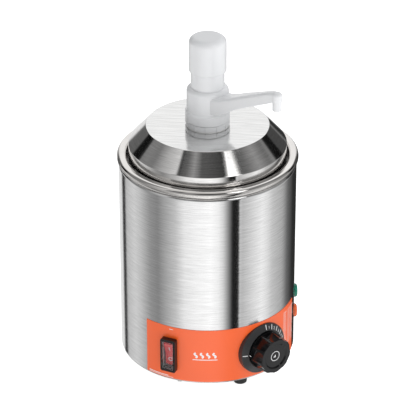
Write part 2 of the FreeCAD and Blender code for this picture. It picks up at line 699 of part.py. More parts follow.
def food_pot():
    outer = "pot_radius + sheet"
    under = "pot_bottom - sheet"
    riser = "riser_radius + sheet"
    rim_in = "rim_radius - sheet"
    return turned("food_pot", [
        ("0", under), (outer, under), (outer, "ledge_height - sheet"),
        (riser, "ledge_height - sheet"), (riser, "rim_top - sheet"), (rim_in, "rim_top - sheet"),
        (rim_in, "rim_bottom + sheet"), (f"{riser} + 2", "rim_bottom + sheet"),
        (f"{riser} + 2", "rim_bottom"), ("rim_radius", "rim_bottom"), ("rim_radius", "rim_top"),
        ("riser_radius", "rim_top"), ("riser_radius", "ledge_height"),
        ("pot_radius", "ledge_height"), ("pot_radius", "pot_bottom"), ("0", "pot_bottom"),
    ], rounds=[
        ("pot_round", [(outer, under)]), ("pot_round - sheet", [("pot_radius", "pot_bottom")]),
        ("3.7", [("rim_radius", "rim_top"), ("rim_radius", "rim_bottom")]),
        ("2.9", [(rim_in, "rim_top - sheet"), (rim_in, "rim_bottom + sheet")]),
        ("2.8", [("riser_radius", "rim_top")]), ("2", [(riser, "rim_top - sheet")]),
    ])


def lid():
    inner = "lid_radius - sheet"
    under_disc = "disc_height - sheet"
    return turned("lid", [
        ("lid_hole", "disc_height"), ("disc_radius", "disc_height"),
        ("lid_radius", "lid_shoulder"), ("lid_radius", "lid_bottom"), (inner, "lid_bottom"),
        (inner, "lid_shoulder - 0.35"), ("disc_radius - 0.35", under_disc), ("lid_hole", under_disc),
    ], rounds=[("1.6", [("disc_radius", "disc_height")]), ("1.2", [("lid_radius", "lid_shoulder")])])


# ---- pump: the parts that the lid holds ----------------------------------------------------

def pump_gasket():
    return turned("pump_gasket", [
        ("lid_hole", "disc_height + 0.02"), ("gasket_radius", "disc_height + 0.02"),
        ("gasket_radius", "disc_height + 1"), ("lid_hole", "disc_height + 1"),
    ], rounds=[("0.3", [("gasket_radius", "disc_height + 1")])])


def pump_bush():
    stem = "lid_hole - 0.3"
    return turned("pump_bush", [
        ("barrel_radius + 0.2", "235"), (stem, "235"), (stem, "disc_height + 1.02"),
        ("bush_flange", "disc_height + 1.02"), ("bush_flange", "bush_step"),
        ("bush_radius", "bush_step"), ("bush_radius", "257"), ("barrel_radius + 0.2", "257"),
    ])


def bush_locknut():
    spot = {"at": "0; 0; disc_height - sheet - 6.05"}
    return hexagon_nut("bush_locknut", "19.5", "lid_hole - 0.25", "6", spot)


def screw_collar():
    """Ribbed ring that screws onto the bush; its narrow upper part stands inside the spout's skirt."""
    ring = turned("collar_ring", [
        ("bush_flange + 0.3", "collar_bottom"), ("collar_radius", "collar_bottom"),
        ("collar_radius", "collar_step"), ("collar_neck", "collar_step"),
        ("collar_neck", "spout_bottom - 0.4"), ("collar_hole", "spout_bottom - 0.4"),
        ("collar_hole", "collar_top"), ("collar_bore", "collar_top"),
        ("collar_bore", "bush_step + 0.2"), ("bush_flange + 0.3", "bush_step + 0.2"),
    ], rounds=[("0.5", [("collar_radius", "collar_step")])])
    ribs = []
    for step in range(SIZES["collar_ribs"]):
        spot = {"at": "-rib_width / 2; -collar_radius - rib_out; collar_bottom",
                "bearing": f"collar_rib_bearing + {step} * 360 / collar_ribs"}
        ribs.append(solid("Box", f"collar_rib_{step}", spot, Length="rib_width",
                          Width="rib_out + 0.6", Height="collar_step - collar_bottom - 0.4"))
    return fused("screw_collar", ring, *ribs)


def pump_cylinder():
    return turned("pump_cylinder", [
        ("barrel_bore", "barrel_bottom"), ("barrel_radius", "barrel_bottom"),
        ("barrel_radius", "257.05"), ("16.9", "257.05"), ("16.9", "258.8"),
        ("barrel_bore", "258.8"),
    ])


def foot_valve():
    seat = "barrel_bottom - 16"
    return turned("foot_valve", [
        ("dip_radius + 0.05", f"{seat} - 10"), ("dip_radius + 2.4", f"{seat} - 10"),
        ("dip_radius + 2.4", f"{seat} + 9"), ("barrel_radius", "barrel_bottom - 4"),
        ("barrel_radius", "barrel_bottom - 0.05"), ("barrel_bore - 0.1", "barrel_bottom - 0.05"),
        ("barrel_bore - 0.1", "barrel_bottom + 5"), ("9", "barrel_bottom + 5"),
        ("9", "barrel_bottom"), ("3.2", "barrel_bottom - 2"), ("3.2", "barrel_bottom - 4"),
        ("ball_radius + 0.6", "barrel_bottom - 4"), ("ball_radius + 0.6", seat), ("3.2", seat),
        ("3.2", f"{seat} - 2"), ("dip_radius + 0.05", f"{seat} - 2"),
    ])


def dip_tube():
    top = "barrel_bottom - 18.05"
    return turned("dip_tube", [
        ("dip_bore", "dip_bottom"), ("dip_radius", "dip_bottom"), ("dip_radius", top),
        ("dip_bore", top),
    ])


def valve_ball(name, radius, height):
    return solid("Sphere", name, {"at": f"0; 0; {height}"}, Radius=radius)


def inlet_ball():
    return valve_ball("inlet_ball", "ball_radius", "barrel_bottom - 16 + 2.7")


# ---- pump: the spout that swivels ----------------------------------------------------------

def spout_body():
    """Turned body with a tapering arm that rises to a down-turned nozzle."""
    neck = "collar_hole - 0.4"
    flange = "collar_bore - 0.4"
    body = turned("spout_turned", [
        ("0", "259.1"), (flange, "259.1"), (flange, "collar_top - 0.35"),
        (neck, "collar_top - 0.35"), (neck, "spout_bottom"), ("collar_neck + 0.4", "spout_bottom"),
        ("collar_neck + 0.4", "skirt_bottom"), ("skirt_radius", "skirt_bottom"),
        ("skirt_radius", "collar_top"), ("spout_radius", "collar_top + 1.6"),
        ("spout_radius", "spout_top"), ("0", "spout_top"),
    ], rounds=[("spout_round", [("spout_radius", "spout_top")]),
               ("1", [("skirt_radius", "skirt_bottom")])])
    arm = spout_arm()
    tip = turned("spout_tip", [
        ("0", "nozzle_bottom"), ("nozzle_radius", "nozzle_bottom"),
        ("nozzle_radius", "arm_top - 9"), ("elbow_radius", "arm_top - 8"),
        ("elbow_radius", "arm_top"), ("0", "arm_top"),
    ], rounds=[("3.2", [("elbow_radius", "arm_top")]), ("0.5", [("nozzle_radius", "nozzle_bottom")])])
    place(tip, at="0; -reach; 0")
    solid_body = fused("spout_solid", body, arm, tip)
    chamber = solid("Cylinder", "spout_chamber", {"at": "0; 0; 263.5"},
                    Radius="chamber_radius", Height="spout_top - 263.5 - 2.6")
    well = solid("Cylinder", "spout_rod_way", {"at": "0; 0; 250"},
                 Radius="rod_radius + 0.35", Height="50")
    seal_seats = [
        solid("Cylinder", f"seal_seat_{number}", {"at": f"0; 0; {low}"}, Radius="7", Height="2.1")
        for number, low in enumerate(("259", "spout_top - 2.05"))
    ]
    passage = solid("Cylinder", "spout_passage",
                    {"at": "0; 0; 270", "turn": "rotation(vector(1; 0; 0); 69)"},
                    Radius="2.6", Height="reach / sin(69) - 1")
    nozzle = solid("Cylinder", "nozzle_way", {"at": "0; -reach; nozzle_bottom - 1"},
                   Radius="nozzle_bore", Height="14")
    hollow = cut("spout_hollow", solid_body, chamber, well, passage, nozzle, *seal_seats)
    return place(group("spout_body", [hollow]), bearing="spout_bearing")


def spout_arm():
    """The arm: a side outline and a plan outline shared, with its upper edges rounded."""
    side = padded("arm_side", [
        ("-8", "263.6"), ("-20", "264.4"), ("-46", "279.7"), ("-reach + 1", "299.4"),
        ("-reach + 1", "arm_top - 0.5"), ("-reach + 6", "arm_top - 0.5"), ("-46", "292.2"),
        ("-22", "282"), ("-8", "280"),
    ], "YZ_Plane", "60")
    plan = padded("arm_plan", [
        ("-arm_root_half", "-2"), ("-arm_tip_half", "-reach"), ("arm_tip_half", "-reach"),
        ("arm_root_half", "-2"),
    ], "XY_Plane", "700")
    arm = rounded("arm_rounded", shared("arm_block", side, plan), "3.4", arm_upper_edge)
    collar_room = solid("Cylinder", "collar_room", Radius="collar_neck + 0.4", Height="spout_bottom")
    return cut("arm_cleared", arm, collar_room)


def arm_upper_edge(edge):
    """Long edges along the top of the arm, on its two sides."""
    middle = edge.CenterOfMass
    ends = edge.Vertexes
    along = abs(ends[0].Y - ends[1].Y) > 0.7 * edge.Length
    lower_line = 264.4 + (abs(middle.y) - 20) * 0.5
    return along and middle.z > lower_line + 5


def guide_sleeve():
    return turned("guide_sleeve", [
        ("rod_radius + 0.35", "spout_top + 0.05"), ("sleeve_radius", "spout_top + 0.05"),
        ("sleeve_radius", "sleeve_top"), ("sleeve_bore", "sleeve_top"),
        ("sleeve_bore", "spout_top + 1.5"), ("rod_radius + 0.35", "spout_top + 1.5"),
    ], rounds=[("0.6", [("sleeve_radius", "sleeve_top")])])


def rod_seals():
    rings = []
    for number, middle in enumerate(("260.1", "spout_top - 1")):
        ring = solid("Torus", f"rod_seal_{number}", {"at": f"0; 0; {middle}"},
                     Radius1="rod_radius + 1.35", Radius2="0.95")
        rings.append(ring)
    return group("rod_seals", rings)


# ---- pump: the parts that the press cap drives ---------------------------------------------

def plunger_rod():
    low = "piston_bottom + 10.5"
    high = "cap_top - 4"
    rod = turned("rod_tube", [
        ("rod_bore", low), ("rod_radius", low), ("rod_radius", high), ("0", high),
        ("0", "spout_top - 3"), ("rod_bore", "spout_top - 3"),
    ])
    port = solid("Cylinder", "rod_port", {"at": "-10; 0; spout_top - 6", "turn": ALONG_X},
                 Radius="1.9", Height="20")
    return cut("plunger_rod", rod, port)


def piston():
    groove = "piston_bottom + 5"
    return turned("piston", [
        ("2.5", "piston_bottom"), ("11.4", "piston_bottom"), ("11.4", groove), ("9.4", groove),
        ("9.4", f"{groove} + 4"), ("11.4", f"{groove} + 4"), ("11.4", "piston_bottom + 13"),
        ("8", "piston_top"), ("rod_radius + 0.05", "piston_top"),
        ("rod_radius + 0.05", "piston_bottom + 10.45"), ("3.8", "piston_bottom + 10.45"),
        ("3.8", "piston_bottom + 4"), ("2.5", "piston_bottom + 4"),
    ])


def piston_seal():
    low = "piston_bottom + 5.1"
    return turned("piston_seal", [
        ("9.5", low), ("11.6", low), ("11.6", f"{low} + 3.8"), ("9.5", f"{low} + 3.8"),
    ], rounds=[("0.8", [("11.6", low), ("11.6", f"{low} + 3.8")])])


def outlet_ball():
    return valve_ball("outlet_ball", "outlet_ball_radius", "piston_bottom + 4 + 2.3")


def return_spring():
    """A closed coil spring of round wire between the sleeve's floor and the washer."""
    height = value("spring_top - spring_bottom - spring_wire * 2")
    radius = value("spring_radius")
    wire = value("spring_wire")
    helix = Part.makeHelix(height / value("spring_turns"), height, radius)
    ring = Part.Wire(Part.makeCircle(wire, FreeCAD.Vector(radius, 0, 0), FreeCAD.Vector(0, 1, 0)))
    coil = Part.Wire(helix.Edges).makePipeShell([ring], True, True)
    coil.translate(FreeCAD.Vector(0, 0, value("spring_bottom + spring_wire")))
    piece = doc.addObject("Part::Feature", "return_spring")
    piece.Shape = coil
    return piece


def spring_washer():
    return turned("spring_washer", [
        ("rod_radius + 0.05", "spring_top + 0.1"), ("11", "spring_top + 0.1"),
        ("11", "spring_top + 1.3"), ("rod_radius + 0.05", "spring_top + 1.3"),
    ])


def press_cap():
    inner = "cap_radius - cap_wall"
    roof = "cap_top - 3"
    return turned("press_cap", [
        (inner, "cap_bottom"), ("cap_radius", "cap_bottom"), ("cap_radius", "cap_top"),
        ("0", "cap_top"), ("0", roof), ("rod_radius + 0.05", roof),
        ("rod_radius + 0.05", "spring_top + 1.4"), ("7.4", "spring_top + 1.4"), ("7.4", roof),
        (inner, roof),
    ], rounds=[("cap_round", [("cap_radius", "cap_top")]),
               ("cap_round - cap_wall", [(inner, roof)])])


# ---- build, test and write -----------------------------------------------------------------

PIECES = [
    outer_shell, control_panel_overlay, base_plate, base_screws, rubber_feet, foot_screws,
    foot_nuts, heating_well, band_heater, heater_clamp_screw, insulation_sleeve, thermal_cutout,
    thermostat_body, thermostat_spacers, thermostat_screws, thermostat_capillary,
    thermostat_spindle, dial_ring, temperature_knob, switch_housing, switch_rocker, switch_cover,
    switch_terminals, lamp_bodies, lamp_nuts, cord_gland, gland_nut, terminal_block,
    terminal_screws, earth_stud, internal_wiring, food_pot, lid, pump_gasket, pump_bush,
    bush_locknut, screw_collar, pump_cylinder, foot_valve, dip_tube, inlet_ball, spout_body,
    guide_sleeve, rod_seals, plunger_rod, piston, piston_seal, outlet_ball, return_spring,
    spring_washer, press_cap,
]


def build():
    pieces = {make.__name__: make() for make in PIECES}
    for colour in ("green", "orange"):
        name = colour + "_lamp_lens"
        pieces[name] = lamp_lens(name, colour + "_height")
    doc.recompute()
    for item in doc.Objects:
        bad = [state for state in item.State if state in ("Invalid", "Error")]
        assert not bad, (item.Label, item.State)
    for name, piece in pieces.items():
        piece.Label = name
        shape = piece.Shape
        assert not shape.isNull() and shape.isValid() and shape.Solids, name
        assert piece.Label == name, (name, piece.Label)
    return pieces


def write(pieces):
    os.makedirs("parts", exist_ok=True)
    for name, piece in pieces.items():
        piece.Shape.exportStep(f"parts/{name}.step")
    print(len(pieces), "sub-parts written")


write(build())
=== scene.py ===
import math

import bmesh
import bpy
from mathutils import Matrix, Vector


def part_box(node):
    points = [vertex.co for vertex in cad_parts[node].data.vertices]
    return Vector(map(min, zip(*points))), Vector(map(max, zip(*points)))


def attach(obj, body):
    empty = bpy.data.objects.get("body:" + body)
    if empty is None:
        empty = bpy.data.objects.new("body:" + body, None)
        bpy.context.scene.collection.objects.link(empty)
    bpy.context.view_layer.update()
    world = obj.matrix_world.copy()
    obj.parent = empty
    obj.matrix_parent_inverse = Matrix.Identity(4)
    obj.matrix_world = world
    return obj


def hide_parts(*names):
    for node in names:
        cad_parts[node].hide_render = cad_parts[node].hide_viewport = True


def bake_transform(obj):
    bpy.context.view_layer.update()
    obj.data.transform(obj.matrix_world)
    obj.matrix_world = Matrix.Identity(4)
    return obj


# Looks of the heated pump dispenser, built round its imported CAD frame.
# +Z is up and -Y is the front. A bearing is an angle about Z in degrees, from -Y towards +X.
# Pieces that look outward are drawn facing -Y and then turned to their bearing.

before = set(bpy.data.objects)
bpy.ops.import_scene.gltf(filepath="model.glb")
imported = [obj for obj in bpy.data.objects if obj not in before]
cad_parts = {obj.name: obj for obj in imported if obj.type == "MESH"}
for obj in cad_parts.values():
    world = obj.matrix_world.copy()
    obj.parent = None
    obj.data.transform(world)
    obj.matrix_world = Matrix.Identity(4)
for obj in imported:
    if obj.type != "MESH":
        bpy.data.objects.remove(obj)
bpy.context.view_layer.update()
scene = bpy.context.scene
MM = 0.001
OUTWARD = Matrix.Rotation(math.radians(90), 4, "X")

CAMERA_BEARING = -6
CAMERA_ELEVATION = 28.35
CAMERA_DISTANCE = 2.337
CAMERA_AIM = Vector((0.0004, 0, 0.1555))
LENS = 210


# ---- where the frame's pieces are ----------------------------------------------------------

def middle(node):
    low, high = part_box(node)
    return (low + high) / 2


def bearing_of(node):
    """Bearing of a piece that sits on the housing's side."""
    centre = middle(node)
    return math.degrees(math.atan2(centre.x, -centre.y))


KNOB_BEARING = bearing_of("temperature_knob")
KNOB_HEIGHT = middle("temperature_knob").z
SWITCH_BEARING = bearing_of("switch_cover")
SWITCH_HEIGHT = middle("switch_cover").z
LAMP_BEARING = bearing_of("green_lamp_lens")
SPOUT_BEARING = 39

# The sizes below are in millimetres, and MM turns them into Blender's metres. Heights that come
# from middle() are already in metres. A distance out is measured from the housing's axis.
SHEET = 0.8                 # gauge of the spun and rolled steel
FILM_FACE = 85.4            # distance out of the film's printed face
DIAL_RADIUS = 26.2
DIAL_EDGE = 86.6            # distance out of the dial's face at its outer edge
DIAL_SLOPE = 3 / 6.2        # how steeply that face rises towards the knob
KNOB_FACE = 105.3           # distance out of the floor of the knob's dished end


def turned_to(bearing, height=0.0):
    """The matrix that carries a piece drawn facing -Y to a bearing and a height in metres."""
    return Matrix.Translation((0, 0, height)) @ Matrix.Rotation(math.radians(bearing), 4, "Z")


# ---- materials -----------------------------------------------------------------------------

class Finish:
    """One Principled material and short calls for the nodes that feed it."""

    def __init__(self, name, color, **sockets):
        self.material = bpy.data.materials.new(name)
        self.material.use_nodes = True
        self.tree = self.material.node_tree
        self.shader = self.tree.nodes["Principled BSDF"]
        self.shader.inputs["Base Color"].default_value = (*color, 1)
        for socket, number in sockets.items():
            self.shader.inputs[socket.replace("_", " ")].default_value = number
        self.place = self.node("ShaderNodeTexCoord").outputs["Object"]

    def node(self, kind, inputs=None, **settings):
        made = self.tree.nodes.new(kind)
        for setting, choice in settings.items():
            setattr(made, setting, choice)
        for socket, source in (inputs or {}).items():
            self.feed(made.inputs[socket], source)
        return made

    def feed(self, socket, source):
        if isinstance(source, bpy.types.NodeSocket):
            self.tree.links.new(source, socket)
        else:
            socket.default_value = source

    def stretched(self, scale):
        """Object coordinates scaled by a different amount along each axis."""
        return self.node("ShaderNodeMapping", {"Vector": self.place, "Scale": scale}).outputs["Vector"]

    def noise(self, scale, detail=2.0, along=None, roughness=0.5):
        source = self.stretched(along) if along else self.place
        made = self.node("ShaderNodeTexNoise",
                         {"Vector": source, "Scale": scale, "Detail": detail, "Roughness": roughness})
        return made.outputs["Fac"]

    def spread(self, source, low, high, start=0.3, end=0.7):
        """A value rescaled from start..end to low..high."""
        made = self.node("ShaderNodeMapRange", {"Value": source, "From Min": start, "From Max": end,
                                                "To Min": low, "To Max": high})
        return made.outputs["Result"]

    def mixed(self, factor, first, second):
        made = self.node("ShaderNodeMix", data_type="RGBA")
        self.feed(made.inputs[0], factor)
        self.feed(made.inputs[6], first)
        self.feed(made.inputs[7], second)
        return made.outputs[2]

    def maths(self, operation, first, second=0.0):
        made = self.node("ShaderNodeMath", operation=operation)
        self.feed(made.inputs[0], first)
        self.feed(made.inputs[1], second)
        return made.outputs[0]

    def set(self, socket, source):
        self.feed(self.shader.inputs[socket], source)

    def bump(self, height, strength, distance):
        made = self.node("ShaderNodeBump",
                         {"Height": height, "Strength": strength, "Distance": distance})
        self.set("Normal", made.outputs["Normal"])


def shade(color, factor):
    return (color[0] * factor, color[1] * factor, color[2] * factor, 1)


def brushed_steel(name, color, roughness, wander, streaks):
    """Steel brushed round the axis: reflections smear upright and each streak is tipped a little."""
    finish = Finish(name, color, Metallic=1.0, Roughness=roughness, Anisotropic=1.0)
    coarse_share = 0.6
    streak = finish.noise(1.0, 3.0, along=streaks, roughness=0.6)
    fine = finish.noise(1.0, 2.0, along=(streaks[0] * 2.3, streaks[1] * 2.3, streaks[2] * 2.1))
    both = finish.maths("ADD", finish.maths("MULTIPLY", streak, coarse_share),
                        finish.maths("MULTIPLY", fine, 1 - coarse_share))
    finish.set("Base Color", finish.mixed(finish.spread(both, 0, 1, 0.34, 0.66),
                                          shade(color, 0.86), shade(color, 1.1)))
    tangent = finish.node("ShaderNodeTangent", direction_type="RADIAL", axis="Z").outputs["Tangent"]
    finish.set("Tangent", tangent)
    finish.shader.inputs["Anisotropic Rotation"].default_value = 0.25
    lean = finish.spread(both, -wander, wander, 0.3, 0.7)
    sideways = finish.node("ShaderNodeVectorMath", operation="SCALE")
    finish.feed(sideways.inputs[0], tangent)
    finish.feed(sideways.inputs["Scale"], lean)
    normal = finish.node("ShaderNodeNewGeometry").outputs["Normal"]
    added = finish.node("ShaderNodeVectorMath", operation="ADD")
    finish.feed(added.inputs[0], normal)
    finish.feed(added.inputs[1], sideways.outputs[0])
    tipped = finish.node("ShaderNodeVectorMath", operation="NORMALIZE")
    finish.feed(tipped.inputs[0], added.outputs[0])
    finish.set("Normal", tipped.outputs[0])
    return finish.material


def straight_brushed_steel(name, color, roughness, direction):
    """Steel brushed in straight lines along a bearing, on a face that looks up."""
    finish = Finish(name, color, Metallic=1.0, Roughness=roughness)
    turned = finish.node("ShaderNodeMapping", {
        "Vector": finish.place, "Rotation": (0, 0, math.radians(direction))}).outputs["Vector"]
    lines = finish.node("ShaderNodeMapping", {
        "Vector": turned, "Scale": (35, 900, 35)}).outputs["Vector"]
    streak = finish.node("ShaderNodeTexNoise", {"Vector": lines, "Scale": 1.0, "Detail": 4.0,
                                                "Roughness": 0.65}).outputs["Fac"]
    finish.set("Base Color", finish.mixed(finish.spread(streak, 0, 1), shade(color, 0.82),
                                          shade(color, 1.06)))
    finish.set("Roughness", finish.spread(streak, roughness * 0.7, roughness * 1.4))
    finish.bump(streak, 0.12, 0.0002)
    return finish.material


def polished_steel(name, color, roughness):
    finish = Finish(name, color, Metallic=1.0, Roughness=roughness)
    ripple = finish.noise(1.0, 2.0, along=(30, 30, 500))
    finish.set("Roughness", finish.spread(ripple, roughness * 0.8, roughness * 1.3))
    finish.set("Base Color", finish.mixed(finish.spread(ripple, 0, 1), shade(color, 0.92),
                                          shade(color, 1.05)))
    finish.bump(ripple, 0.1, 0.0004)
    return finish.material


def plastic(name, color, roughness, grain=900, depth=0.05, unevenness=0.04, **sockets):
    """Moulded plastic or rubber with a fine grain and slight unevenness of colour."""
    finish = Finish(name, color, Roughness=roughness, **sockets)
    cloud = finish.noise(35, 2.0)
    finish.set("Base Color", finish.mixed(finish.spread(cloud, 0, 1), shade(color, 1 - unevenness),
                                          shade(color, 1.0)))
    finish.set("Roughness", finish.spread(cloud, roughness * (1 - 2 * unevenness), roughness))
    finish.bump(finish.noise(grain, 3.0), depth, 0.0002)
    return finish.material


def rough_metal(name, color, roughness, grain=400):
    """Plated or sheet metal inside the case; also the darker steel in the pot's mouth, which is
    painted shade.
    """
    finish = Finish(name, color, Metallic=1.0, Roughness=roughness)
    spots = finish.noise(grain, 4.0)
    finish.set("Base Color", finish.mixed(finish.spread(spots, 0, 1), shade(color, 0.8),
                                          shade(color, 1.1)))
    finish.set("Roughness", finish.spread(spots, roughness * 0.8, roughness * 1.25))
    finish.bump(spots, 0.15, 0.0002)
    return finish.material


def glass_wool():
    finish = Finish("glass_wool", (0.85, 0.8, 0.62), Roughness=0.95)
    fibre = finish.noise(700, 6.0, roughness=0.7)
    finish.set("Base Color", finish.mixed(fibre, (0.7, 0.62, 0.4, 1), (0.95, 0.93, 0.82, 1)))
    finish.bump(fibre, 0.7, 0.002)
    return finish.material


def printed_film():
    """Orange printed film on the housing, satin, with a very fine orange-peel surface."""
    color = (0.9, 0.12, 0.016)
    # The faint orange emission is painted light: the film glows a little so that its orange looks
    # brighter.
    finish = Finish("orange_film", color, Roughness=0.32, Coat_Weight=0.5, Coat_Roughness=0.3,
                    Emission_Color=(1, 0.13, 0.02, 1), Emission_Strength=0.04)
    cloud = finish.noise(14, 2.0)
    finish.set("Base Color", finish.mixed(finish.spread(cloud, 0, 1), shade(color, 0.965),
                                          shade(color, 1.02)))
    finish.bump(finish.noise(1800, 2.0), 0.04, 0.0001)
    return finish.material


def clear_plastic():
    finish = Finish("clear_plastic", (1, 1, 1), Roughness=0.04, IOR=1.45,
                    Transmission_Weight=1.0)
    finish.bump(finish.noise(160, 2.0), 0.06, 0.0002)
    return finish.material


def lens_plastic(name, color):
    finish = Finish(name, color, Roughness=0.12, IOR=1.49, Coat_Weight=0.6)
    rings = finish.noise(300, 2.0)
    finish.set("Base Color", finish.mixed(finish.spread(rings, 0, 1), shade(color, 0.8),
                                          shade(color, 1.15)))
    finish.bump(rings, 0.12, 0.0003)
    return finish.material


def print_ink(name, color):
    finish = Finish(name, color, Roughness=0.5)
    speck = finish.noise(2500, 2.0)
    finish.set("Base Color", finish.mixed(finish.spread(speck, 0, 1), shade(color, 0.9),
                                          shade(color, 1.0)))
    return finish.material


MATERIALS = {
    "brushed_steel": brushed_steel("brushed_steel", (0.78, 0.78, 0.78), 0.1, 0.007, (45, 45, 1000)),
    "lid_steel": brushed_steel("lid_steel", (0.78, 0.77, 0.76), 0.085, 0.002, (50, 50, 1200)),
    "polished_steel": polished_steel("polished_steel", (0.76, 0.74, 0.72), 0.1),
    "well_steel": rough_metal("well_steel", (0.6, 0.6, 0.6), 0.4),
    "zinc_steel": rough_metal("zinc_steel", (0.62, 0.62, 0.6), 0.35),
    "orange_film": printed_film(),
    "black_rubber": plastic("black_rubber", (0.012, 0.012, 0.013), 0.55, 1400, 0.15),
    "heater_band_metal": rough_metal("heater_band_metal", (0.5, 0.49, 0.46), 0.45),
    "glass_wool": glass_wool(),
    "cutout_body": plastic("cutout_body", (0.55, 0.5, 0.42), 0.5),
    "thermostat_case": rough_metal("thermostat_case", (0.55, 0.55, 0.53), 0.4),
    "copper_tube": rough_metal("copper_tube", (0.72, 0.35, 0.2), 0.3),
    "dial_black": plastic("dial_black", (0.028, 0.028, 0.029), 0.3, 2600, 0.25),
    "knob_black": plastic("knob_black", (0.005, 0.005, 0.0055), 0.12, 1200, 0.02,
                          Specular_IOR_Level=0.32),
    "switch_black": plastic("switch_black", (0.006, 0.006, 0.0065), 0.3, 1500, 0.1),
    # The rocker's red emission is painted light: it glows to make up for the light that the clear
    # cover keeps off it.
    "rocker_red": plastic("rocker_red", (0.62, 0.01, 0.014), 0.22, 900, 0.03,
                          Emission_Color=(0.7, 0.01, 0.02, 1), Emission_Strength=0.2),
    "clear_plastic": clear_plastic(),
    "green_lens": lens_plastic("green_lens", (0.0, 0.19, 0.12)),
    "orange_lens": lens_plastic("orange_lens", (0.8, 0.13, 0.025)),
    "lamp_plastic": plastic("lamp_plastic", (0.5, 0.5, 0.48), 0.5),
    "gland_black": plastic("gland_black", (0.015, 0.015, 0.016), 0.45, 1400, 0.12),
    "terminal_nylon": plastic("terminal_nylon", (0.75, 0.73, 0.66), 0.5),
    "lead_insulation": plastic("lead_insulation", (0.45, 0.12, 0.04), 0.45),
    "white_plastic": plastic("white_plastic", (0.81, 0.815, 0.82), 0.15, 700, 0.01, 0.008),
    "natural_plastic": plastic("natural_plastic", (0.8, 0.81, 0.8), 0.3, 700, 0.03,
                               Transmission_Weight=0.25),
    "white_silicone": plastic("white_silicone", (0.78, 0.78, 0.77), 0.5, 1000, 0.05),
    "valve_steel": polished_steel("valve_steel", (0.75, 0.75, 0.75), 0.18),
}
DISC_STEEL = straight_brushed_steel("disc_steel", (0.82, 0.82, 0.815), 0.12, 12)
# Dark steel for the pot's mouth: painted shade and painted dark reflection, standing in for the gap
# under the lid.
PAINTED_SHADE_STEEL = rough_metal("painted_shade_steel", (0.3, 0.295, 0.29), 0.35)
WHITE_INK = print_ink("white_ink", (0.9, 0.9, 0.9))

for cad_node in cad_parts.values():
    for held in cad_node.material_slots:
        slot_name = held.material.name.split(".")[0]
        held.material = MATERIALS[slot_name]


# ---- mesh helpers --------------------------------------------------------------------------

ROUND_STEPS = 8
SUPPORT = 0.25 * MM         # a loop this near each round keeps the flats next to it flat


def rounded(corners, steps=ROUND_STEPS):
    """Closed outline from (radius, height, round) corners in millimetres, given in order."""
    points = []
    for number, (across, up, fillet) in enumerate(corners):
        corner = Vector((across, up)) * MM
        if not fillet:
            points.append(corner)
            continue
        after = corners[(number + 1) % len(corners)]
        back = (Vector(corners[number - 1][:2]) * MM - corner).normalized()
        ahead = (Vector(after[:2]) * MM - corner).normalized()
        half = back.angle(ahead) / 2
        trim = fillet * MM / math.tan(half)
        centre = corner + (back + ahead).normalized() * fillet * MM / math.sin(half)
        start = corner + back * trim - centre
        end = corner + ahead * trim - centre
        turn = math.atan2(start.x * end.y - start.y * end.x, start.dot(end))
        points.append(corner + back * (trim + SUPPORT))
        for step in range(steps + 1):
            angle = turn * step / steps
            points.append(centre + Vector((
                start.x * math.cos(angle) - start.y * math.sin(angle),
                start.x * math.sin(angle) + start.y * math.cos(angle),
            )))
        points.append(corner + ahead * (trim + SUPPORT))
    return points


def lathe(outline, segments=256, start=0.0, sweep=360.0):
    """A closed outline of (radius, height) turned about Z, all round or between two bearings."""
    solid = bmesh.new()
    whole = sweep == 360.0
    rings = []
    for step in range(segments if whole else segments + 1):
        bearing = math.radians(start + sweep * step / segments)
        way = Vector((math.sin(bearing), -math.cos(bearing), 0))
        rings.append([solid.verts.new(way * point.x + Vector((0, 0, point.y))) for point in outline])
    count = len(outline)
    for step in range(segments):
        this, following = rings[step], rings[(step + 1) % len(rings)]
        for number in range(count):
            after = (number + 1) % count
            if outline[number].x > 0 or outline[after].x > 0:
                solid.faces.new((this[number], this[after], following[after], following[number]))
    if not whole:
        solid.faces.new(rings[0])
        solid.faces.new(rings[-1])
    bmesh.ops.remove_doubles(solid, verts=solid.verts, dist=1e-7)
    bmesh.ops.recalc_face_normals(solid, faces=solid.faces)
    return solid


def box(width, height, back, front, bevel=0.0):
    """A box facing -Y, centred on X and Z, between two distances out, in millimetres."""
    solid = bmesh.new()
    bmesh.ops.create_cube(solid, size=1)
    size = Vector((width, front - back, height)) * MM
    solid.transform(Matrix.Translation((0, -(front + back) / 2 * MM, 0)) @ Matrix.Diagonal((*size, 1)))
    if bevel:
        bmesh.ops.bevel(solid, geom=solid.edges, offset=bevel * MM, segments=4, profile=0.5,
                        affect="EDGES")
    return solid


def piece(name, solid, slot, body, stands_for=(), material=None, place=None, sharp=35):
    """A finished object from a mesh: shaded, given its material and carried by its body, if any."""
    if place is not None:
        solid.transform(place)
    mesh = bpy.data.meshes.new(name)
    solid.to_mesh(mesh)
    solid.free()
    mesh.shade_smooth()
    mesh.set_sharp_from_angle(angle=math.radians(sharp))
    mesh.materials.append(material or MATERIALS[slot])
    made = bpy.data.objects.new(name, mesh)
    scene.collection.objects.link(made)
    if body:
        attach(made, body)
    if stands_for:
        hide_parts(*stands_for)
    return made


def join(solid, other):
    """Add another mesh's faces to a mesh and free the other."""
    mesh = bpy.data.meshes.new("joined")
    other.to_mesh(mesh)
    other.free()
    solid.from_mesh(mesh)
    bpy.data.meshes.remove(mesh)


def paint_faces(made, material, chosen):
    """Give the faces whose centres are chosen a second material."""
    made.data.materials.append(material)
    for face in made.data.polygons:
        if chosen(face.center):
            face.material_index = 1


